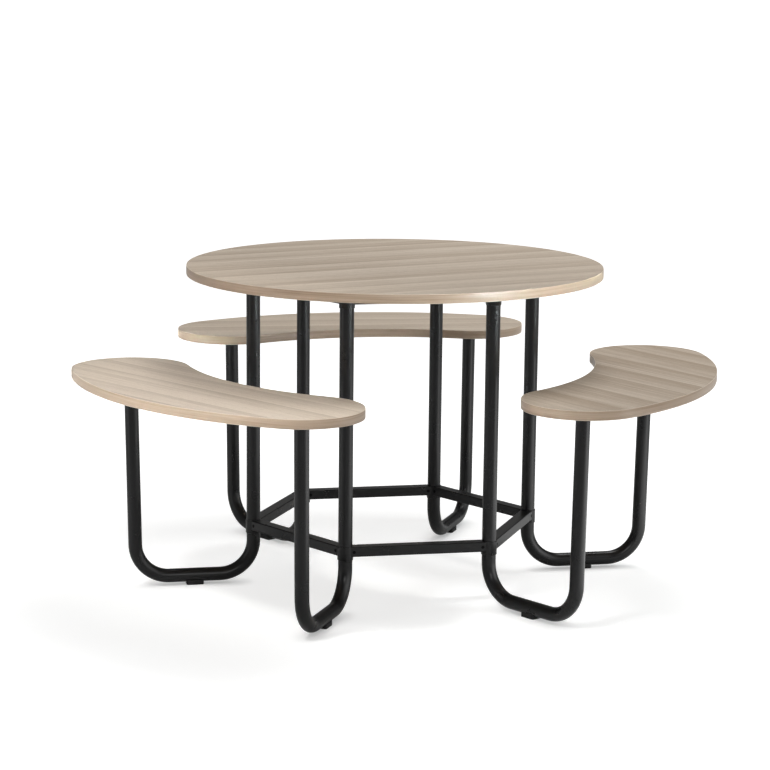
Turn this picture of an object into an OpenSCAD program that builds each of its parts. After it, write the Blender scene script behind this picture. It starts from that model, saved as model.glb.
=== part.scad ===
// Round table with three attached kidney-shaped bench seats on six bent steel tubes.
// Millimetres, +Z up, floor at z = 0. The benches point to 90, 210 and 330 degrees about the table's axis.

/* [Boards] */
// Diameter of the round tabletop
tabletop_d = 1200; // [1100:10:1400]
// Height of the tabletop's upper face above the floor
table_h = 926; // [860:2:1100]
// Height of the seats' upper face above the floor
seat_h = 644; // [560:2:720]
// Thickness of the tabletop board
tabletop_t = 26; // [18:1:38]
// Thickness of the seat boards
seat_t = 26; // [18:1:38]
// Thickness of the edge band glued round each board
band_t = 2; // [1:0.5:4]

/* [Seat outline] */
// Radius of the round ends of a seat, centred over its legs
seat_end_r = 168; // [130:2:190]
// Radius of the long outer curve of a seat
seat_outer_r = 950; // [820:10:1300]
// Radius of the hollow inner curve of a seat
seat_inner_r = 750; // [500:10:1200]

/* [Leg tubes] */
// Outside diameter of the leg tube
tube_d = 40; // [32:1:50]
// Wall of the leg tube
tube_wall = 2; // [1.5:0.5:4]
// Distance from the table's axis to the inner uprights
inner_r = 412; // [360:2:440]
// Distance from the table's axis to the outer uprights, where they meet the seats
outer_r = 765; // [730:5:800]
// Radius of the tube's bends, on its centre line
bend_r = 98; // [80:2:120]
// Outward lean of the outer uprights, in degrees
lean = 0.9; // [0:0.1:3]

/* [Ring frames] */
// Width of the ring bars
bar_w = 35; // [24:1:40]
// Height of the ring bars
bar_h = 28.5; // [20:0.5:36]
// Wall of the ring bars
bar_wall = 2; // [1.5:0.5:3]
// Outside radius of the ring bars' corners
bar_round = 3; // [2.5:0.5:5]
// Height of the lower ring's upper face above the floor
lower_ring_top = 186; // [170:1:260]
// Height of the collars that hold the bar ends
collar_h = 39; // [34:1:50]
// Wall of the collars
collar_wall = 2; // [1.5:0.5:4]
// Length of the spigot that fills each bar end, from the collar outwards
spigot_l = 28; // [20:1:60]
// Gap between pieces that slide together, on each side
fit_gap = 0.2; // [0.1:0.1:0.4]
// Distance from a bar's coped end to its screws, along the bar's face
ring_screw_edge = 8; // [7:1:14]
// Diameter of the screws that hold the bar ends
ring_screw_d = 5; // [4:0.5:6]
// Diameter of their countersunk heads
ring_screw_head_d = 9; // [7.5:0.5:10]
// Length of the ring screws
ring_screw_l = 6; // [4:0.5:7]
// Width across the flats of the sockets in all screw heads
socket_w = 3; // [2:0.5:3]
// Depth of those sockets
socket_h = 1.8; // [1:0.2:2.4]

/* [Mounting plates] */
// Diameter of the round plates on the tube ends
plate_d = 110; // [90:2:130]
// Thickness of the round plates
plate_t = 4; // [3:0.5:6]
// Diameter of the circle that the plate screws stand on
plate_screw_circle = 86; // [78:1:100]
// Diameter of the plate screws
screw_d = 5; // [4:0.5:6]
// Diameter of the plate screws' heads
screw_head_d = 10; // [8:0.5:12]
// Height of the plate screws' heads
screw_head_h = 3; // [2:0.5:4]
// Depth of the plate screws in the board
screw_depth = 14; // [8:1:16]

/* [Glide pads] */
// Length of a glide pad along the floor run
pad_l = 50; // [40:1:70]
// Width of a glide pad
pad_w = 34; // [30:1:44]
// Thickness of a glide pad under the tube
pad_t = 7; // [5:0.5:12]
// Height of the pad's lips up the tube's sides
pad_lip = 8; // [4:0.5:12]
// Radius of a glide pad's upright corners
pad_corner_r = 6; // [3:0.5:8]
// Diameter of the peg that holds a pad in the tube
pad_peg_d = 8; // [5:0.5:12]
// Height of the peg inside the tube
pad_peg_h = 5; // [3:0.5:8]

/* [Hidden] */
$fn = 96;
// Facets of the tabletop's rim, of a seat's long curves and of the small round corners
rim_facets = 240;
curve_facets = 360;
corner_facets = 32;
hex_sides = 6;
bench_count = 3;
leg_count = 2 * bench_count;
bench_step = 360 / bench_count;
leg_step = 360 / leg_count;
first_bench = 90;
// Angle from a bench's middle to each of its two legs
leg_half_angle = leg_step / 2;
tube_r = tube_d / 2;
bore_r = tube_r - tube_wall;
run_z = pad_t + tube_r;
tabletop_under = table_h - tabletop_t;
seat_under = seat_h - seat_t;
inner_top = tabletop_under - plate_t;
outer_top = seat_under - plate_t;
upper_ring_top = inner_top;
collar_bore_r = tube_r + fit_gap;
collar_r = collar_bore_r + collar_wall;
cope_r = collar_r + fit_gap;
// Overlap of a cutting body past the face that it cuts
past = 1;

// Hexagon of the ring bars: distance from the table's axis to a bar, and half the length between uprights.
bar_mid_r = inner_r * cos(leg_half_angle);
bar_half_l = inner_r * sin(leg_half_angle);
bar_turn = 180 - 2 * leg_half_angle;
ring_screw_at = sqrt(cope_r * cope_r - bar_w * bar_w / 4) + ring_screw_edge;

// Plate screws stand clear of the ring bars that leave an upright at plus and minus bar_turn.
plate_screw_angles = [60, 180, 300];

// Seat outline: the centres of the round ends lie over the outer uprights, the outer and inner curves are
// tangent to the round ends.
end_u = outer_r * cos(leg_half_angle);
end_v = outer_r * sin(leg_half_angle);
outer_centre = end_u - sqrt(pow(seat_outer_r - seat_end_r, 2) - end_v * end_v);
inner_centre = end_u - sqrt(pow(seat_inner_r + seat_end_r, 2) - end_v * end_v);
outer_half = atan2(end_v, end_u - outer_centre);

// The table's axis stands off the middle of the footprint, because three benches are not symmetric in Y.
reach_front = outer_r * cos(leg_half_angle) + seat_end_r;
reach_back = outer_centre + seat_outer_r;
axis_y = (reach_front - reach_back) / 2;

// The outer upright leans from the top of its bend to the seat.
foot_z = run_z + bend_r;
foot_r = outer_r - (outer_top - foot_z) * tan(lean);
inner_bend_r = inner_r + bend_r;
outer_bend_r = foot_r - bend_r;
run_l = outer_bend_r - inner_bend_r;
pad_r = inner_bend_r + run_l / 2;

// Step where the leaning upright meets the bend, so that the two share one level face.
seam = 0.02;

function leg_angle(i) = first_bench + leg_half_angle + (i - 1) * leg_step;
function bench_angle(i) = first_bench + (i - 1) * bench_step;

// Places a leg's own plane, with x outwards from the table's axis, at leg i.
module at_leg(i) {
    translate([0, axis_y, 0])
    rotate([0, 0, leg_angle(i)])
    children();
}

module at_bench(i) {
    translate([0, axis_y, 0])
    rotate([0, 0, bench_angle(i)])
    children();
}

// Rectangle with round corners, centred on the origin.
module rounded_rectangle(w, h, r) {
    square([w - 2 * r, h], center = true);
    square([w, h - 2 * r], center = true);
    for (x = [-1, 1], y = [-1, 1]) {
        translate([x * (w / 2 - r), y * (h / 2 - r)]) circle(r = r, $fn = corner_facets);
    }
}

// Kidney outline, drawn in by inset on every side. x is outwards from the table's axis.
module kidney(inset) {
    far = 2 * seat_outer_r;
    corner = [end_u + far * cos(outer_half), far * sin(outer_half) + end_v];
    for (side = [-1, 1]) {
        translate([end_u, side * end_v]) circle(r = seat_end_r - inset);
    }
    difference() {
        intersection() {
            translate([outer_centre, 0]) circle(r = seat_outer_r - inset, $fn = curve_facets);
            polygon([[inner_centre, 0], [end_u, end_v], corner, [corner[0], -corner[1]], [end_u, -end_v]]);
        }
        translate([inner_centre, 0]) circle(r = seat_inner_r + inset, $fn = curve_facets);
    }
}

module tabletop_board() {
    color("#c2b39d")
    difference() {
        translate([0, axis_y, tabletop_under])
        cylinder(r = tabletop_d / 2 - band_t, h = tabletop_t, $fn = rim_facets);
        for (i = [1:leg_count]) {
            screw_holes(i, inner_r, tabletop_under);
        }
    }
}

module tabletop_edge_band() {
    color("#b89e82")
    translate([0, axis_y, tabletop_under])
    difference() {
        cylinder(r = tabletop_d / 2, h = tabletop_t, $fn = rim_facets);
        translate([0, 0, -past])
        cylinder(r = tabletop_d / 2 - band_t, h = tabletop_t + 2 * past, $fn = rim_facets);
    }
}

module seat_board(i) {
    color("#c2b39d")
    difference() {
        at_bench(i)
        translate([0, 0, seat_under])
        linear_extrude(seat_t) kidney(band_t);
        for (leg = [2 * i - 2, 2 * i - 1]) {
            screw_holes(leg, outer_r, seat_under);
        }
    }
}

module seat_edge_band(i) {
    color("#b89e82")
    at_bench(i)
    translate([0, 0, seat_under])
    linear_extrude(seat_t)
    difference() {
        kidney(0);
        kidney(band_t);
    }
}

// Leaning part of a rod, cut level at the bend and at the seat.
module leaning_rod(r) {
    intersection() {
        translate([foot_r, 0, foot_z])
        rotate([0, lean, 0])
        translate([0, 0, -tube_d])
        cylinder(r = r, h = outer_top - foot_z + 2 * tube_d);
        translate([foot_r - 2 * tube_d, -tube_d, foot_z])
        cube([4 * tube_d, 2 * tube_d, outer_top - foot_z]);
    }
}

// Quarter bend in the leg's plane, centred at distance at_r, from the angle start.
module quarter_bend(r, at_r, start) {
    translate([at_r, 0, foot_z])
    rotate([90, 0, 0])
    rotate([0, 0, start])
    rotate_extrude(angle = 90)
    translate([bend_r, 0]) circle(r = r);
}

// One bent rod of radius r in the leg's plane, from the tabletop down, along the floor and up to the seat.
// The leaning part is wider by extra.
module bent_rod(r, extra) {
    translate([inner_r, 0, foot_z]) cylinder(r = r, h = inner_top - foot_z);
    quarter_bend(r, inner_bend_r, 180);
    translate([inner_bend_r, 0, run_z]) rotate([0, 90, 0]) cylinder(r = r, h = run_l);
    quarter_bend(r, outer_bend_r, 270);
    leaning_rod(r + extra);
}

module leg_tube(i) {
    color("#2b2b2c")
    at_leg(i)
    difference() {
        bent_rod(tube_r, seam);
        bent_rod(bore_r, -seam);
        translate([pad_r, 0, 0]) cylinder(r = pad_peg_d / 2 + fit_gap, h = run_z);
    }
}

// Hexagonal socket, sunk from z = 0 downwards.
module hex_socket() {
    translate([0, 0, -socket_h])
    cylinder(r = socket_w / 2 / cos(180 / hex_sides), h = socket_h + past, $fn = hex_sides);
}

// Countersunk screw, its head's face at z = 0 and its tip at minus the length. grow widens it for its hole.
module ring_screw(grow) {
    head_h = (ring_screw_head_d - ring_screw_d) / 2;
    translate([0, 0, -ring_screw_l - grow]) cylinder(r = ring_screw_d / 2 + grow, h = ring_screw_l + grow);
    translate([0, 0, -head_h])
    cylinder(r1 = ring_screw_d / 2 + grow, r2 = ring_screw_head_d / 2 + grow, h = head_h);
}

// Puts a child at each screw of the bar that leaves leg i, both ends and both faces, head outwards.
module at_ring_screws(i, top) {
    translate([0, axis_y, top - bar_h / 2])
    rotate([0, 0, leg_angle(i) + leg_half_angle])
    for (end = [-1, 1], face = [-1, 1]) {
        translate([bar_mid_r + face * bar_w / 2, end * (bar_half_l - ring_screw_at), 0])
        rotate([0, face * 90, 0])
        children();
    }
}

// Section of a ring bar, drawn in by inset on every side. x runs across the bar and y upwards.
module bar_section(inset) {
    rounded_rectangle(bar_w - 2 * inset, bar_h - 2 * inset, max(bar_round - inset, bar_wall / 4));
}

// Collar round an inner upright with two spigots that fill the ends of the bars.
module ring_collar(i, top) {
    chamfer = collar_wall / 2;
    color("#2b2b2c")
    difference() {
        at_leg(i)
        translate([inner_r, 0, top - collar_h])
        difference() {
            union() {
                cylinder(r1 = collar_r - chamfer, r2 = collar_r, h = chamfer);
                translate([0, 0, chamfer]) cylinder(r = collar_r, h = collar_h - chamfer);
                for (side = [-1, 1]) {
                    rotate([0, 0, side * bar_turn])
                    translate([0, 0, collar_h - bar_h / 2])
                    rotate([90, 0, 90])
                    linear_extrude(collar_r + spigot_l) bar_section(bar_wall + fit_gap);
                }
            }
            translate([0, 0, -past]) cylinder(r = collar_bore_r, h = collar_h + 2 * past);
        }
        at_ring_screws(i, top) ring_screw(fit_gap);
        at_ring_screws(i - 1, top) ring_screw(fit_gap);
    }
}

// Hollow bar from leg i to the next one, with its ends coped to the collars.
module ring_bar(i, top) {
    color("#2b2b2c")
    difference() {
        translate([0, axis_y, top - bar_h / 2])
        rotate([0, 0, leg_angle(i) + leg_half_angle])
        translate([bar_mid_r, 0, 0])
        difference() {
            rotate([90, 0, 0])
            linear_extrude(2 * bar_half_l, center = true)
            difference() {
                bar_section(0);
                bar_section(bar_wall);
            }
            for (side = [-1, 1]) {
                translate([0, side * bar_half_l, -bar_h]) cylinder(r = cope_r, h = 2 * bar_h);
            }
        }
        at_ring_screws(i, top) ring_screw(fit_gap);
    }
}

module ring_screws() {
    color("#141414")
    for (i = [1:leg_count], top = [lower_ring_top, upper_ring_top]) {
        at_ring_screws(i, top)
        difference() {
            ring_screw(0);
            hex_socket();
        }
    }
}

// Puts a child at each screw of the round plate on leg i, at distance r and at height z.
module at_plate_screws(i, r, z) {
    at_leg(i)
    for (a = plate_screw_angles) {
        translate([r, 0, z])
        rotate([0, 0, a])
        translate([plate_screw_circle / 2, 0, 0])
        children();
    }
}

// Pilot holes in a board's underside.
module screw_holes(i, r, under) {
    at_plate_screws(i, r, under - past) cylinder(r = screw_d / 2, h = screw_depth + past);
}

// Round plate on a tube end, with screw holes outside the tube.
module round_plate(i, r, under) {
    color("#2b2b2c")
    difference() {
        at_leg(i) translate([r, 0, under - plate_t]) cylinder(r = plate_d / 2, h = plate_t);
        at_plate_screws(i, r, under - plate_t - past)
        cylinder(r = screw_d / 2 + fit_gap, h = plate_t + 2 * past);
    }
}

// Screws with low tapered heads under the plates, pointing up into the boards.
module plate_screws(r, under) {
    head_r = screw_head_d / 2;
    head_taper = screw_head_h / 3;
    for (i = [1:leg_count]) {
        at_plate_screws(i, r, under - plate_t)
        difference() {
            union() {
                translate([0, 0, -screw_head_h])
                cylinder(r1 = head_r - head_taper, r2 = head_r, h = screw_head_h);
                cylinder(r = screw_d / 2, h = plate_t + screw_depth);
            }
            translate([0, 0, -screw_head_h]) rotate([180, 0, 0]) hex_socket();
        }
    }
}

module tabletop_screws() {
    color("#8c8c8e") plate_screws(inner_r, tabletop_under);
}

module seat_screws() {
    color("#8c8c8e") plate_screws(outer_r, seat_under);
}

// Pad under the middle of a floor run, hollowed to the tube and held by a peg in the tube's wall.
module foot_pad(i) {
    color("#161616")
    at_leg(i) {
        difference() {
            translate([pad_r, 0, 0])
            linear_extrude(pad_t + pad_lip) rounded_rectangle(pad_l, pad_w, pad_corner_r);
            translate([pad_r - pad_l, 0, run_z])
            rotate([0, 90, 0])
            cylinder(r = tube_r + fit_gap, h = 2 * pad_l);
        }
        translate([pad_r, 0, pad_t / 2])
        cylinder(r = pad_peg_d / 2, h = pad_t / 2 + tube_wall + pad_peg_h);
    }
}

tabletop_board();
tabletop_edge_band();
ring_screws();
tabletop_screws();
seat_screws();
for (i = [1:bench_count]) {
    seat_board(i);
    seat_edge_band(i);
}
for (i = [1:leg_count]) {
    leg_tube(i);
    ring_collar(i, lower_ring_top);
    ring_collar(i, upper_ring_top);
    ring_bar(i, lower_ring_top);
    ring_bar(i, upper_ring_top);
    foot_pad(i);
    round_plate(i, inner_r, tabletop_under);
    round_plate(i, outer_r, seat_under);
}
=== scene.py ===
import math

import bpy
from mathutils import Matrix, Vector


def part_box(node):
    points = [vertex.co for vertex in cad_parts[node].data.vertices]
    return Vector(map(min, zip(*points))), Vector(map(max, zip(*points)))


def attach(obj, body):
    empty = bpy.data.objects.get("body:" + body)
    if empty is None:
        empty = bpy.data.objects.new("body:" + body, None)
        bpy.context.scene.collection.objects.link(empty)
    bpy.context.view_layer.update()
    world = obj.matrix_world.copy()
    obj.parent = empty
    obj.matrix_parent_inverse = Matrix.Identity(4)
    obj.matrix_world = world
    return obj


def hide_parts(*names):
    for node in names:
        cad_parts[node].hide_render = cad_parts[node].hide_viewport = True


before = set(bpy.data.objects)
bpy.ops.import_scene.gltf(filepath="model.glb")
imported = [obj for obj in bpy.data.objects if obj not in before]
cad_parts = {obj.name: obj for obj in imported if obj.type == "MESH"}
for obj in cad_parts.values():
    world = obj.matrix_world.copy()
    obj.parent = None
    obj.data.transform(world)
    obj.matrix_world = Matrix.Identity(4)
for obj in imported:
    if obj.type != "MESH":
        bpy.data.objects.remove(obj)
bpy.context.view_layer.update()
bpy.ops.object.select_all(action="DESELECT")

# Camera
# It stands about seven metres from the table, a little above a standing eye's height, looks slightly down,
# and has a long lens. Places are counted from the table's own axis, across and away as the camera sees it.
table_axis = Vector((0, (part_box("tabletop_board")[0].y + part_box("tabletop_board")[1].y) / 2, 0))
view_turn = math.radians(-10.729)
picture_side = 770
focal_px = 2446.94
middle_px = Vector((350.55, 433.04))
sensor_width = 36.0
camera_pitch = math.radians(11.572)
camera_roll = math.radians(0.4234)
camera_place = (-0.1237, -7.0081, 1.8633)


def seen_from_camera(across, away, up):
    """A point in the frame, from its place across and away from the table's axis and above the floor."""
    return table_axis + Matrix.Rotation(view_turn, 3, "Z") @ Vector((across, away, up))


camera = bpy.data.objects.new("camera", bpy.data.cameras.new("camera"))
bpy.context.scene.collection.objects.link(camera)
camera.data.sensor_width = sensor_width
camera.data.lens = focal_px / picture_side * sensor_width
camera.data.shift_x = (picture_side / 2 - middle_px.x) / picture_side
camera.data.shift_y = (middle_px.y - picture_side / 2) / picture_side
camera.matrix_world = (
    Matrix.Translation(seen_from_camera(*camera_place))
    @ Matrix.Rotation(view_turn, 4, "Z")
    @ Matrix.Rotation(math.pi / 2 - camera_pitch, 4, "X")
    @ Matrix.Rotation(camera_roll, 4, "Z")
)
bpy.context.scene.camera = camera
bpy.context.scene.view_settings.view_transform = "Standard"

# Studio
# A paper sweep that shows white with the table's soft shadow, and a white surround. In the coated steel the
# floor and surround show one bright side on the right, a fainter one on the left, and grey at the back: a
# painted reflection, which they show only to mirrored rays. The paper glows by itself, less so near the
# table so that its shadow shows, and more further out, a painted light that whitens the far floor and hides
# the shadows there. Close under a piece the glow is dimmed again, a painted contact shadow.
floor_size = 160.0
floor_white = "#c9c9c8"
floor_glow = 0.66
far_glow = 0.90
shadow_reach = (1.0, 1.8)
contact_reach = 0.045
contact_share = 0.7
surround_light = 0.38
mirrored_front = 0.03
mirrored_back = 0.18
right_side, mirrored_right = 70, 1.6
left_side, mirrored_left = -67, 0.2
side_rise = (0.3, 0.9)
side_width = (0.25, 0.85)
back_rise = (0.5, 1.0)
sweep_half = 1.6


def linear_colour(code):
    """The linear colour of an sRGB hex value."""
    values = [int(code[k:k + 2], 16) / 255 for k in (1, 3, 5)]
    return tuple(v / 12.92 if v <= 0.04045 else ((v + 0.055) / 1.055) ** 2.4 for v in values) + (1.0,)


def new_material(name):
    """A new material and its empty node tree."""
    material = bpy.data.materials.new(name)
    material.use_nodes = True
    material.node_tree.nodes.clear()
    return material, material.node_tree


def add_node(tree, kind, inputs=(), **settings):
    """Adds a node, gives it its settings, and fills its inputs with values or with other nodes' outputs."""
    node = tree.nodes.new("ShaderNode" + kind)
    for name, value in settings.items():
        setattr(node, name, value)
    for name, value in dict(inputs).items():
        if isinstance(value, bpy.types.NodeSocket):
            tree.links.new(value, node.inputs[name])
        else:
            node.inputs[name].default_value = value
    return node


def math_node(tree, operation, *values):
    """The result of one operation on values or on other nodes' outputs."""
    return add_node(tree, "Math", dict(enumerate(values)), operation=operation).outputs[0]


def remap(tree, value, before, after, **settings):
    """A value's place between two limits, moved to between two others."""
    limits = {"From Min": before[0], "From Max": before[1], "To Min": after[0], "To Max": after[1]}
    return add_node(tree, "MapRange", {"Value": value, **limits}, **settings).outputs["Result"]


def ray_strength(tree, place, reach, plain, clear):
    """Strength by kind of ray: clear for what the camera sees, by side of the studio when mirrored, and
    plain for all else. The mirrored sides are a painted reflection, seen only in mirrored rays, and fade
    over shares of the reach from the origin."""

    def towards(angle):
        """Distance towards one side of the studio, at an angle round from the camera's side."""
        side = (math.sin(math.radians(angle)), -math.cos(math.radians(angle)), 0)
        arrow = seen_from_camera(*side) - seen_from_camera(0, 0, 0)
        return add_node(tree, "VectorMath", {0: place, 1: arrow}, operation="DOT_PRODUCT").outputs["Value"]

    def fading(value, shares, strengths):
        """A smooth change of strength between two shares of the reach."""
        limits = [share * reach for share in shares]
        return remap(tree, value, limits, strengths, interpolation_type="SMOOTHSTEP")

    def painted_reflection_side(angle, strongest):
        """A painted reflection like a softbox's mirror image, seen only in mirrored rays: full in the
        middle of its side, and nothing left and right of it.
        """
        aside = math_node(tree, "ABSOLUTE", towards(angle + 90))
        near_side = fading(towards(angle), side_rise, (0, strongest))
        return math_node(tree, "MULTIPLY", near_side, fading(aside, side_width, (1, 0)))

    rays = add_node(tree, "LightPath")
    right = painted_reflection_side(right_side, mirrored_right)
    left = painted_reflection_side(left_side, mirrored_left)
    front_to_back = fading(towards(180), back_rise, (mirrored_front, mirrored_back))
    mirrored = math_node(tree, "ADD", math_node(tree, "ADD", right, left), front_to_back)
    direct = math_node(tree, "MAXIMUM", rays.outputs["Is Camera Ray"], rays.outputs["Is Transmission Ray"])
    other = add_node(tree, "Mix", {"Factor": rays.outputs["Is Glossy Ray"], 2: plain, 3: mirrored})
    strength = add_node(tree, "Mix", {"Factor": direct, 2: other.outputs[0], 3: clear})
    return strength.outputs[0]


bpy.ops.mesh.primitive_plane_add(size=floor_size)
floor = bpy.context.object
floor.name = "studio_floor"
floor_paint, tree = new_material("white studio floor")
place = add_node(tree, "TexCoord")
distance = add_node(tree, "VectorMath", {0: place.outputs["Object"]}, operation="LENGTH")
# Painted light: the paper's glow rises from near the table out to the far floor.
paper = remap(tree, distance.outputs["Value"], shadow_reach, (floor_glow, far_glow))
# Painted contact shadow: the glow is dimmed where a piece stands close above the paper.
openness = add_node(tree, "AmbientOcclusion", {"Distance": contact_reach})
share_left = math_node(tree, "MULTIPLY_ADD", openness.outputs["AO"], contact_share, 1 - contact_share)
paper_with_painted_contact_shadow = math_node(tree, "MULTIPLY", paper, share_left)
glow = ray_strength(tree, place.outputs["Object"], sweep_half, 0.0, paper_with_painted_contact_shadow)
matt = add_node(tree, "BsdfDiffuse", {"Color": linear_colour(floor_white)})
lit = add_node(tree, "Emission", {"Color": (1, 1, 1, 1), "Strength": glow})
both = add_node(tree, "AddShader", {0: matt.outputs[0], 1: lit.outputs[0]})
add_node(tree, "OutputMaterial", {"Surface": both.outputs[0]})
floor.data.materials.append(floor_paint)

world = bpy.data.worlds.new("white surround")
bpy.context.scene.world = world
world.use_nodes = True
tree = world.node_tree
tree.nodes.clear()
direction = add_node(tree, "TexCoord")
strength = ray_strength(tree, direction.outputs["Generated"], 1.0, surround_light, 1.0)
back = add_node(tree, "Background", {"Color": (1, 1, 1, 1), "Strength": strength})
add_node(tree, "OutputWorld", {"Surface": back.outputs[0]})

# Lamps
# One softbox hangs above and behind, one stands in front and a narrow one at each side. Gridded ones, which
# light only what they point at, pick out the tabletop's right edge, the seats' left ends and the left
# seat's top. An open one on the right draws the short shadows at the feet. The steel doesn't mirror the
# last five.
open_front = 180
white = (1, 1, 1)
cool_white = (0.87, 0.96, 1.0)


def add_softbox(name, place, aim, size, power, spread=open_front, colour=white):
    """A rectangular lamp at a place seen from the camera, turned towards a point seen from the camera."""
    lamp = bpy.data.objects.new(name, bpy.data.lights.new(name, "AREA"))
    bpy.context.scene.collection.objects.link(lamp)
    lamp.data.shape = "RECTANGLE"
    lamp.data.size, lamp.data.size_y = size
    lamp.data.energy = power
    lamp.data.color = colour
    lamp.data.spread = math.radians(spread)
    start = seen_from_camera(*place)
    turn = (seen_from_camera(*aim) - start).to_track_quat("-Z", "Y")
    lamp.matrix_world = Matrix.Translation(start) @ turn.to_matrix().to_4x4()
    return lamp


add_softbox("overhead_softbox", (1.0, 1.4, 5.0), (0, 0, 0.4), (2.4, 2.4), 126)
add_softbox("front_softbox", (0.4, -5.2, 2.2), (0, 0, 0.6), (2.2, 1.2), 30)
add_softbox("right_softbox", (2.85, -1.1, 0.8), (0.3, 0, 0.6), (0.5, 1.6), 4)
add_softbox("left_softbox", (-2.75, -1.2, 0.8), (-0.3, 0, 0.6), (0.5, 1.6), 3.5)
add_softbox("right_strip", (2.75, -2.15, 0.96), (0.3, -0.25, 0.93), (0.9, 0.12), 0.86, 10, cool_white)
for name, place, aim, size, power, spread, colour in (
    ("left_strip", (-2.95, -1.9, 0.62), (-0.65, -0.4, 0.63), (1.1, 0.12), 0.66, 10, cool_white),
    ("back_seat_strip", (-3.2, -0.9, 0.61), (-0.45, 0.72, 0.62), (0.6, 0.12), 0.5, 8, cool_white),
    ("right_seat_strip", (-1.84, -2.27, 0.62), (0.62, -0.55, 0.62), (0.35, 0.12), 0.13, 10, cool_white),
    ("side_softbox", (3.3, 1.0, 2.2), (0, 0, 0.1), (1.0, 0.8), 28, open_front, cool_white),
    ("left_seat_softbox", (-1.7, -1.9, 3.3), (-0.45, -0.60, 0.65), (1.5, 0.7), 1.9, 14, white),
):
    add_softbox(name, place, aim, size, power, spread, colour).visible_glossy = False

# Tabletop board
# A round chipboard faced with melamine, pressed with a matt pale oak print of planks. The print's planks,
# the streaks along them and the fine pores run one way across the whole board. Every plank pales from one
# side to the other, so its neighbours meet it in a clear line.
tabletop_grain = 16.0
tabletop_planks = (-0.62, -0.49, -0.367, -0.253, -0.043, 0.082, 0.274, 0.382, 0.50, 0.62)
plank_dark = 0.26
plank_light = 0.76
plank_seam = 0.02
seam_width = 0.007
seam_start = 0.001
plank_waver = 0.003
waver_length, waver_width = 0.8, 0.4
# Broad streaks, fine streaks and grain lines: the length and width of each, its detail and its strength.
streak_layers = ((1.6, 0.030, 3.0, 0.80), (0.60, 0.011, 4.0, 1.25), (0.16, 0.0032, 3.0, 0.90))
arches_along, arches_across = 2.2, 26.0
arch_scale = 1.2
arch_waver = 9.0
arch_strength = 0.18
plain_share = 0.6
pore_length = 0.022
pore_width = 0.0014
pore_limits = (0.60, 0.72)
pore_strength = 0.45
board_gloss = 0.46
pore_gloss = 0.35
pore_bump = (0.35, 0.0002)
oak_dark = "#a5937f"
oak_light = "#d0c2b1"
oak_pore = "#8d7964"


def blend(tree, factor, first, second):
    """The colour between two, each a hex value or another node's output."""
    ends = [linear_colour(end) if isinstance(end, str) else end for end in (first, second)]
    return add_node(tree, "Mix", {"Factor": factor, 6: ends[0], 7: ends[1]}, data_type="RGBA").outputs[2]


def relief(tree, height, bump, sunk=False):
    """The surface's direction with a fine relief, from its strength and its height in metres."""
    return add_node(tree, "Bump", {"Height": height, "Strength": bump[0], "Distance": bump[1]},
                    invert=sunk).outputs[0]


def end_material(tree, inputs):
    """Ends a material in a surface with these inputs."""
    surface = add_node(tree, "BsdfPrincipled", inputs)
    add_node(tree, "OutputMaterial", {"Surface": surface.outputs[0]})


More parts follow.
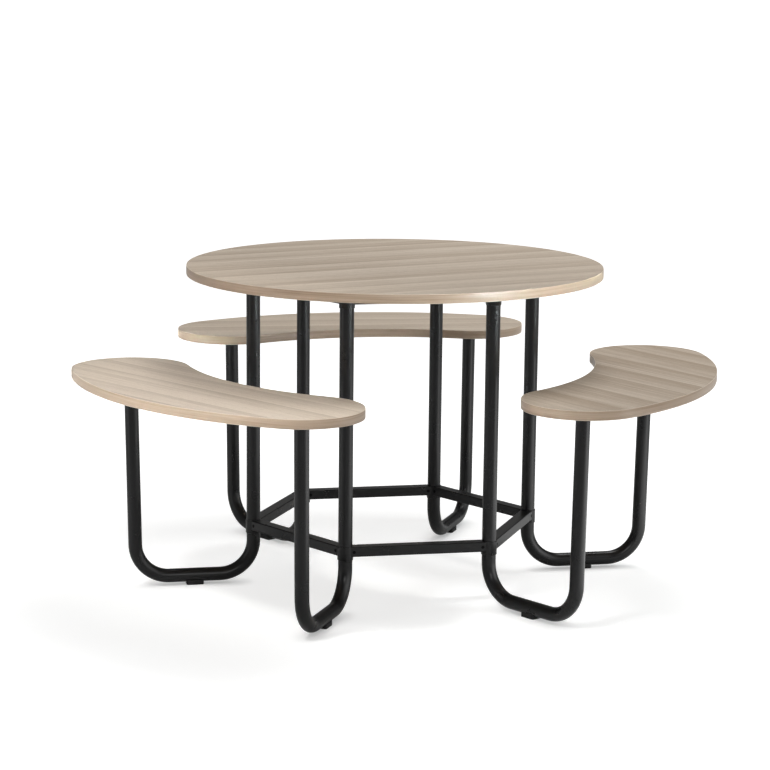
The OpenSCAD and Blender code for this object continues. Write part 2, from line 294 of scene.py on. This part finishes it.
def oak_melamine(name, grain, planks, shade):
    """Matt melamine printed with oak. The grain runs at an angle to the frame's X axis, and the planks'
    edges lie at their distances across the grain from the table's axis. Shade is painted light or shade:
    how much paler or darker the whole board is painted."""
    material, tree = new_material(name)
    place = add_node(tree, "TexCoord")
    turn = math.radians(grain)
    turned = add_node(tree, "Mapping", {"Vector": place.outputs["Object"], "Rotation": (0, 0, -turn),
                                        "Location": (0, -table_axis.y * math.cos(turn), 0)})
    parts = add_node(tree, "SeparateXYZ", {"Vector": turned.outputs[0]})
    along, across = parts.outputs["X"], parts.outputs["Y"]

    def stretched_noise(length, width, detail):
        """Noise whose patches are length along the grain and width across it, in metres."""
        spot = add_node(tree, "CombineXYZ", {"X": math_node(tree, "MULTIPLY", along, 1 / length),
                                             "Y": math_node(tree, "MULTIPLY", across, 1 / width)})
        return add_node(tree, "TexNoise", {"Vector": spot.outputs[0], "Scale": 1.0, "Detail": detail,
                                           "Roughness": 0.55}).outputs["Fac"]

    def scaled(value, factor, offset):
        return math_node(tree, "MULTIPLY_ADD", value, factor, offset)

    def added(first, second):
        return math_node(tree, "ADD", first, second)

    # Each plank's paling from one edge to the next, with a dark seam where two meet.
    first, last = planks[0], planks[-1]
    sheet = last - first
    waver = scaled(stretched_noise(waver_length, waver_width, 1.0), plank_waver, -plank_waver / 2)
    wavering = added(across, waver)
    paling = add_node(tree, "ValToRGB", {"Fac": scaled(wavering, 1 / sheet, -first / sheet)})
    steps = paling.color_ramp.elements
    steps[1].position = 1.0
    for place_of_edge in planks[1:-1]:
        spot = (place_of_edge - first) / sheet
        steps.new(spot - seam_start)
        steps.new(spot)
        steps.new(spot + seam_width / sheet)
    tones = [plank_dark] + [plank_light, plank_seam, plank_dark] * (len(planks) - 2) + [plank_light]
    for step, tone in zip(steps, tones):
        step.color = (tone, tone, tone, 1.0)
    # The shade adds painted light or shade evenly over the whole board.
    tone = added(paling.outputs["Color"], shade)
    for length, width, detail, strength in streak_layers:
        tone = added(tone, scaled(stretched_noise(length, width, detail), strength, -strength / 2))

    # Arched figure, as of boards cut off the heart, in some strips of the sheet.
    strip = math_node(tree, "FLOOR", math_node(tree, "DIVIDE", wavering, planks[1] - planks[0]))
    chance = add_node(tree, "TexWhiteNoise", {"W": strip}, noise_dimensions="1D")
    own_look = add_node(tree, "SeparateColor", {"Color": chance.outputs["Color"]})
    figured = math_node(tree, "GREATER_THAN", own_look.outputs["Green"], plain_share)
    arch_spot = add_node(tree, "CombineXYZ", {"X": scaled(along, arches_along, 0.0),
                                              "Y": scaled(across, arches_across, 0.0)})
    arch = add_node(tree, "TexWave", {"Vector": arch_spot.outputs[0], "Scale": arch_scale,
                                      "Distortion": arch_waver, "Detail": 2.0, "Detail Scale": 1.2},
                    bands_direction="Y")
    arches = scaled(arch.outputs["Fac"], arch_strength, -arch_strength / 2)
    tone = added(tone, math_node(tree, "MULTIPLY", arches, figured))

    pores = remap(tree, stretched_noise(pore_length, pore_width, 1.0), pore_limits, (0.0, pore_strength))
    oak = blend(tree, tone, oak_dark, oak_light)
    end_material(tree, {"Base Color": blend(tree, pores, oak, oak_pore), "IOR": 1.5,
                        "Roughness": scaled(pores, pore_gloss, board_gloss),
                        "Normal": relief(tree, pores, pore_bump, sunk=True)})
    return material


def paint(node_name, material):
    """Gives a carried-over solid its finish."""
    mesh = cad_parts[node_name].data
    mesh.materials.clear()
    mesh.materials.append(material)


paint("tabletop_board", oak_melamine("tabletop melamine, oak print", tabletop_grain, tabletop_planks, 0.0))

# Seat boards
# Three kidney-shaped boards of the same melamine. Each is cut from the sheet at its own angle, so each has
# its own grain direction and its own planks. Each whole board is also painted paler or darker: painted
# light on seats 1 and 2, painted shade on seat 3.
seat_grain = {1: 177.0, 2: 123.0, 3: 114.5}
seat_planks = {
    1: (-1.02, -0.90, -0.775, -0.66, -0.54),
    2: (0.45, 0.52, 0.609, 0.704, 0.836, 0.914, 1.04),
    3: (-0.94, -0.818, -0.716, -0.578, -0.466, -0.356, -0.206, -0.074, 0.05),
}
# Painted light above zero and painted shade below it, over each whole seat board.
seat_painted_light_and_shade = {1: 0.15, 2: 0.33, 3: -0.24}
for bench, grain in seat_grain.items():
    paint("seat_board_%d" % bench, oak_melamine("seat %d melamine, oak print" % bench, grain,
                                                seat_planks[bench], seat_painted_light_and_shade[bench]))

# Edge bands
# Two-millimetre plastic band, glued round each board and rounded off by trimming to a small radius top and
# bottom. Its own oak print is warmer than the board's and runs round the edge in thin level lines. Where
# the band faces up or down, on its radius and its narrow top and bottom, it is paler: partly the plastic
# beneath the print, partly a painted highlight along the edge.
band_dark = "#a48b73"
band_light = "#c9b39d"
band_core_and_highlight = "#dccdbb"
band_round = 0.0016
band_segments = 3
line_length, line_height = 0.16, 0.0011
streak_length, streak_height = 0.35, 0.0055
print_limits = (0.6, 1.4)
trim_slopes = (0.15, 0.35)
band_roughness = (0.26, 0.42)
band_bump = (0.2, 0.0001)
merge_distance = 0.00001
flat_angle = math.radians(0.4)
sharp_angle = math.radians(45)
smooth_angle = math.radians(32)


def level_noise(tree, length, height, detail):
    """Noise whose patches are length along the edge and height high, in metres."""
    place = add_node(tree, "TexCoord")
    stretched = add_node(tree, "Mapping", {"Vector": place.outputs["Object"],
                                           "Scale": (1 / length, 1 / length, 1 / height)})
    return add_node(tree, "TexNoise", {"Vector": stretched.outputs[0], "Scale": 1.0,
                                       "Detail": detail}).outputs["Fac"]


band_material, tree = new_material("edge band, printed oak")
lines = level_noise(tree, line_length, line_height, 3.0)
streaks = level_noise(tree, streak_length, streak_height, 2.0)
tone = remap(tree, math_node(tree, "ADD", lines, streaks), print_limits, (0, 1))
oak = blend(tree, tone, band_dark, band_light)
facing = add_node(tree, "NewGeometry")
upward = add_node(tree, "SeparateXYZ", {"Vector": facing.outputs["Normal"]})
# Painted highlight and paler core, where the band faces more up or down than sideways.
trimmed_core_and_highlight = remap(tree, math_node(tree, "ABSOLUTE", upward.outputs["Z"]), trim_slopes, (0, 1))
end_material(tree, {"Base Color": blend(tree, trimmed_core_and_highlight, oak, band_core_and_highlight), "IOR": 1.5,
                    "Roughness": remap(tree, lines, (0, 1), band_roughness),
                    "Normal": relief(tree, lines, band_bump)})


def pick(piece):
    """Makes a piece the active one and the only one selected."""
    bpy.ops.object.select_all(action="DESELECT")
    bpy.context.view_layer.objects.active = piece
    piece.select_set(True)


def rounded_copy(node_name, piece_name, radius, segments, material):
    """A piece that stands for a carried-over solid, with its sharp edges rounded off."""
    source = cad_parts[node_name]
    piece = bpy.data.objects.new(piece_name, source.data.copy())
    bpy.context.scene.collection.objects.link(piece)
    pick(piece)
    bpy.ops.object.mode_set(mode="EDIT")
    bpy.ops.mesh.select_all(action="SELECT")
    bpy.ops.mesh.remove_doubles(threshold=merge_distance)
    bpy.ops.mesh.dissolve_limited(angle_limit=flat_angle)
    bpy.ops.object.mode_set(mode="OBJECT")
    rounding = piece.modifiers.new("rounding", "BEVEL")
    rounding.width = radius
    rounding.segments = segments
    rounding.limit_method = "ANGLE"
    rounding.angle_limit = sharp_angle
    rounding.use_clamp_overlap = False
    bpy.ops.object.modifier_apply(modifier=rounding.name)
    bpy.ops.object.shade_smooth_by_angle(angle=smooth_angle)
    piece.data.materials.clear()
    piece.data.materials.append(material)
    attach(piece, "root")
    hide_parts(node_name)


rounded_copy("tabletop_edge_band", "tabletop_band", band_round, band_segments, band_material)
for bench in seat_grain:
    rounded_copy("seat_edge_band_%d" % bench, "seat_band_%d" % bench, band_round, band_segments,
                 band_material)

# Bent leg tubes
# Six round steel tubes, each bent twice, coated with black epoxy powder. The baked powder is semi-matt,
# with the slight ripple of orange peel.
coat_dark = "#101011"
coat_light = "#171718"
coat_patch = 0.06
coat_roughness = (0.24, 0.33)
peel_size = 0.0016
peel_bump = (0.12, 0.0002)


def fine_noise(tree, size, detail):
    """Noise whose patches are about one size, in metres."""
    place = add_node(tree, "TexCoord")
    return add_node(tree, "TexNoise", {"Vector": place.outputs["Object"], "Scale": 1 / size,
                                       "Detail": detail}).outputs["Fac"]


powder_coat, tree = new_material("black epoxy powder coat")
patches = fine_noise(tree, coat_patch, 3.0)
end_material(tree, {"Base Color": blend(tree, patches, coat_dark, coat_light), "IOR": 1.47,
                    "Roughness": remap(tree, patches, (0, 1), coat_roughness),
                    "Normal": relief(tree, fine_noise(tree, peel_size, 1.0), peel_bump)})
legs = range(1, 7)
for leg in legs:
    paint("leg_tube_%d" % leg, powder_coat)

# Ring frames
# Two hexagons of rectangular tube, one low and one right under the tabletop. A collar slides over each
# inner upright, and its two spigots go into the bars' ends. All are powder coated like the legs, and the
# collars' turned edges are broken.
collar_round = 0.0005
collar_segments = 2
for leg in legs:
    for level in ("lower", "upper"):
        paint("%s_bar_%d" % (level, leg), powder_coat)
        rounded_copy("%s_collar_%d" % (level, leg), "%s_ring_collar_%d" % (level, leg), collar_round,
                     collar_segments, powder_coat)

# Round plates
# Steel discs on the tubes' ends, which carry the boards. Each is welded to its tube and coated with it, and
# under the seats the weld's bead runs round the tube in small ripples.
bead_radius = 0.0022
bead_sink = 0.6
bead_ripples = 24
bead_facets = 12
facets_a_ripple = 4
ripple_part = (0.4, 0.6)
ripple_height = 0.0004
tube_radius = 0.020
for leg in legs:
    paint("table_plate_%d" % leg, powder_coat)
    paint("seat_plate_%d" % leg, powder_coat)


def under_plate(leg):
    """The middle of a seat plate's underside."""
    low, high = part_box("seat_plate_%d" % leg)
    return Vector(((low.x + high.x) / 2, (low.y + high.y) / 2, low.z))


bpy.ops.object.select_all(action="DESELECT")
bpy.ops.mesh.primitive_torus_add(major_radius=tube_radius + bead_radius * bead_sink,
                                 minor_radius=bead_radius,
                                 major_segments=bead_ripples * facets_a_ripple,
                                 minor_segments=bead_facets)
bead = bpy.context.object
bpy.ops.object.mode_set(mode="EDIT")
bpy.ops.mesh.select_mode(type="VERT")
bpy.ops.mesh.select_all(action="DESELECT")
bpy.ops.object.mode_set(mode="OBJECT")
for corner in bead.data.vertices:
    in_ripple = math.atan2(corner.co.y, corner.co.x) / math.tau * bead_ripples % 1
    corner.select = ripple_part[0] < in_ripple < ripple_part[1] and corner.co.length > tube_radius
bpy.ops.object.mode_set(mode="EDIT")
bpy.ops.transform.shrink_fatten(value=ripple_height)
bpy.ops.mesh.select_all(action="SELECT")
bpy.ops.transform.translate(value=under_plate(1) - Vector((0, 0, bead_radius * bead_sink)))
bpy.ops.object.mode_set(mode="OBJECT")
bpy.ops.object.shade_smooth()
bead.data.materials.append(powder_coat)
for leg in legs:
    piece = bead
    if leg > 1:
        piece = bead.copy()
        piece.data = bead.data.copy()
        bpy.context.scene.collection.objects.link(piece)
        pick(piece)
        bpy.ops.object.mode_set(mode="EDIT")
        bpy.ops.mesh.select_all(action="SELECT")
        bpy.ops.transform.translate(value=under_plate(leg) - under_plate(1))
        bpy.ops.object.mode_set(mode="OBJECT")
    piece.name = "weld_bead_%d" % leg
    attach(piece, "root")

# Screws
# Black countersunk screws hold the bars to the spigots. Zinc-plated ones hold the plates to the boards.
oxide_dark = "#050505"
oxide_light = "#0c0c0d"
oxide_speck = 0.001
zinc_dark = "#9a9b9e"
zinc_light = "#c4c5c8"
zinc_spangle = 0.0012

screw_black, tree = new_material("black oxide steel")
oxide = blend(tree, fine_noise(tree, oxide_speck, 2.0), oxide_dark, oxide_light)
end_material(tree, {"Base Color": oxide, "Roughness": 0.8, "Specular IOR Level": 0.15})
paint("ring_screws", screw_black)

zinc, tree = new_material("zinc-plated steel")
plating = blend(tree, fine_noise(tree, zinc_spangle, 2.0), zinc_dark, zinc_light)
end_material(tree, {"Base Color": plating, "Roughness": 0.32, "Metallic": 1.0})
paint("tabletop_screws", zinc)
paint("seat_screws", zinc)

# Glide pads
# Moulded black plastic saddles under the floor runs, which keep the steel off the floor. The moulded skin
# is matt and finely sparked.
pad_dark = "#0d0d0d"
pad_light = "#191919"
pad_spark = 0.0008
pad_bump = (0.3, 0.0001)
pad_round = 0.0012
pad_segments = 3

pad_plastic, tree = new_material("moulded black polypropylene")
sparks = fine_noise(tree, pad_spark, 2.0)
end_material(tree, {"Base Color": blend(tree, sparks, pad_dark, pad_light), "Roughness": 0.62, "IOR": 1.49,
                    "Normal": relief(tree, sparks, pad_bump)})
for leg in legs:
    rounded_copy("foot_pad_%d" % leg, "glide_pad_%d" % leg, pad_round, pad_segments, pad_plastic)
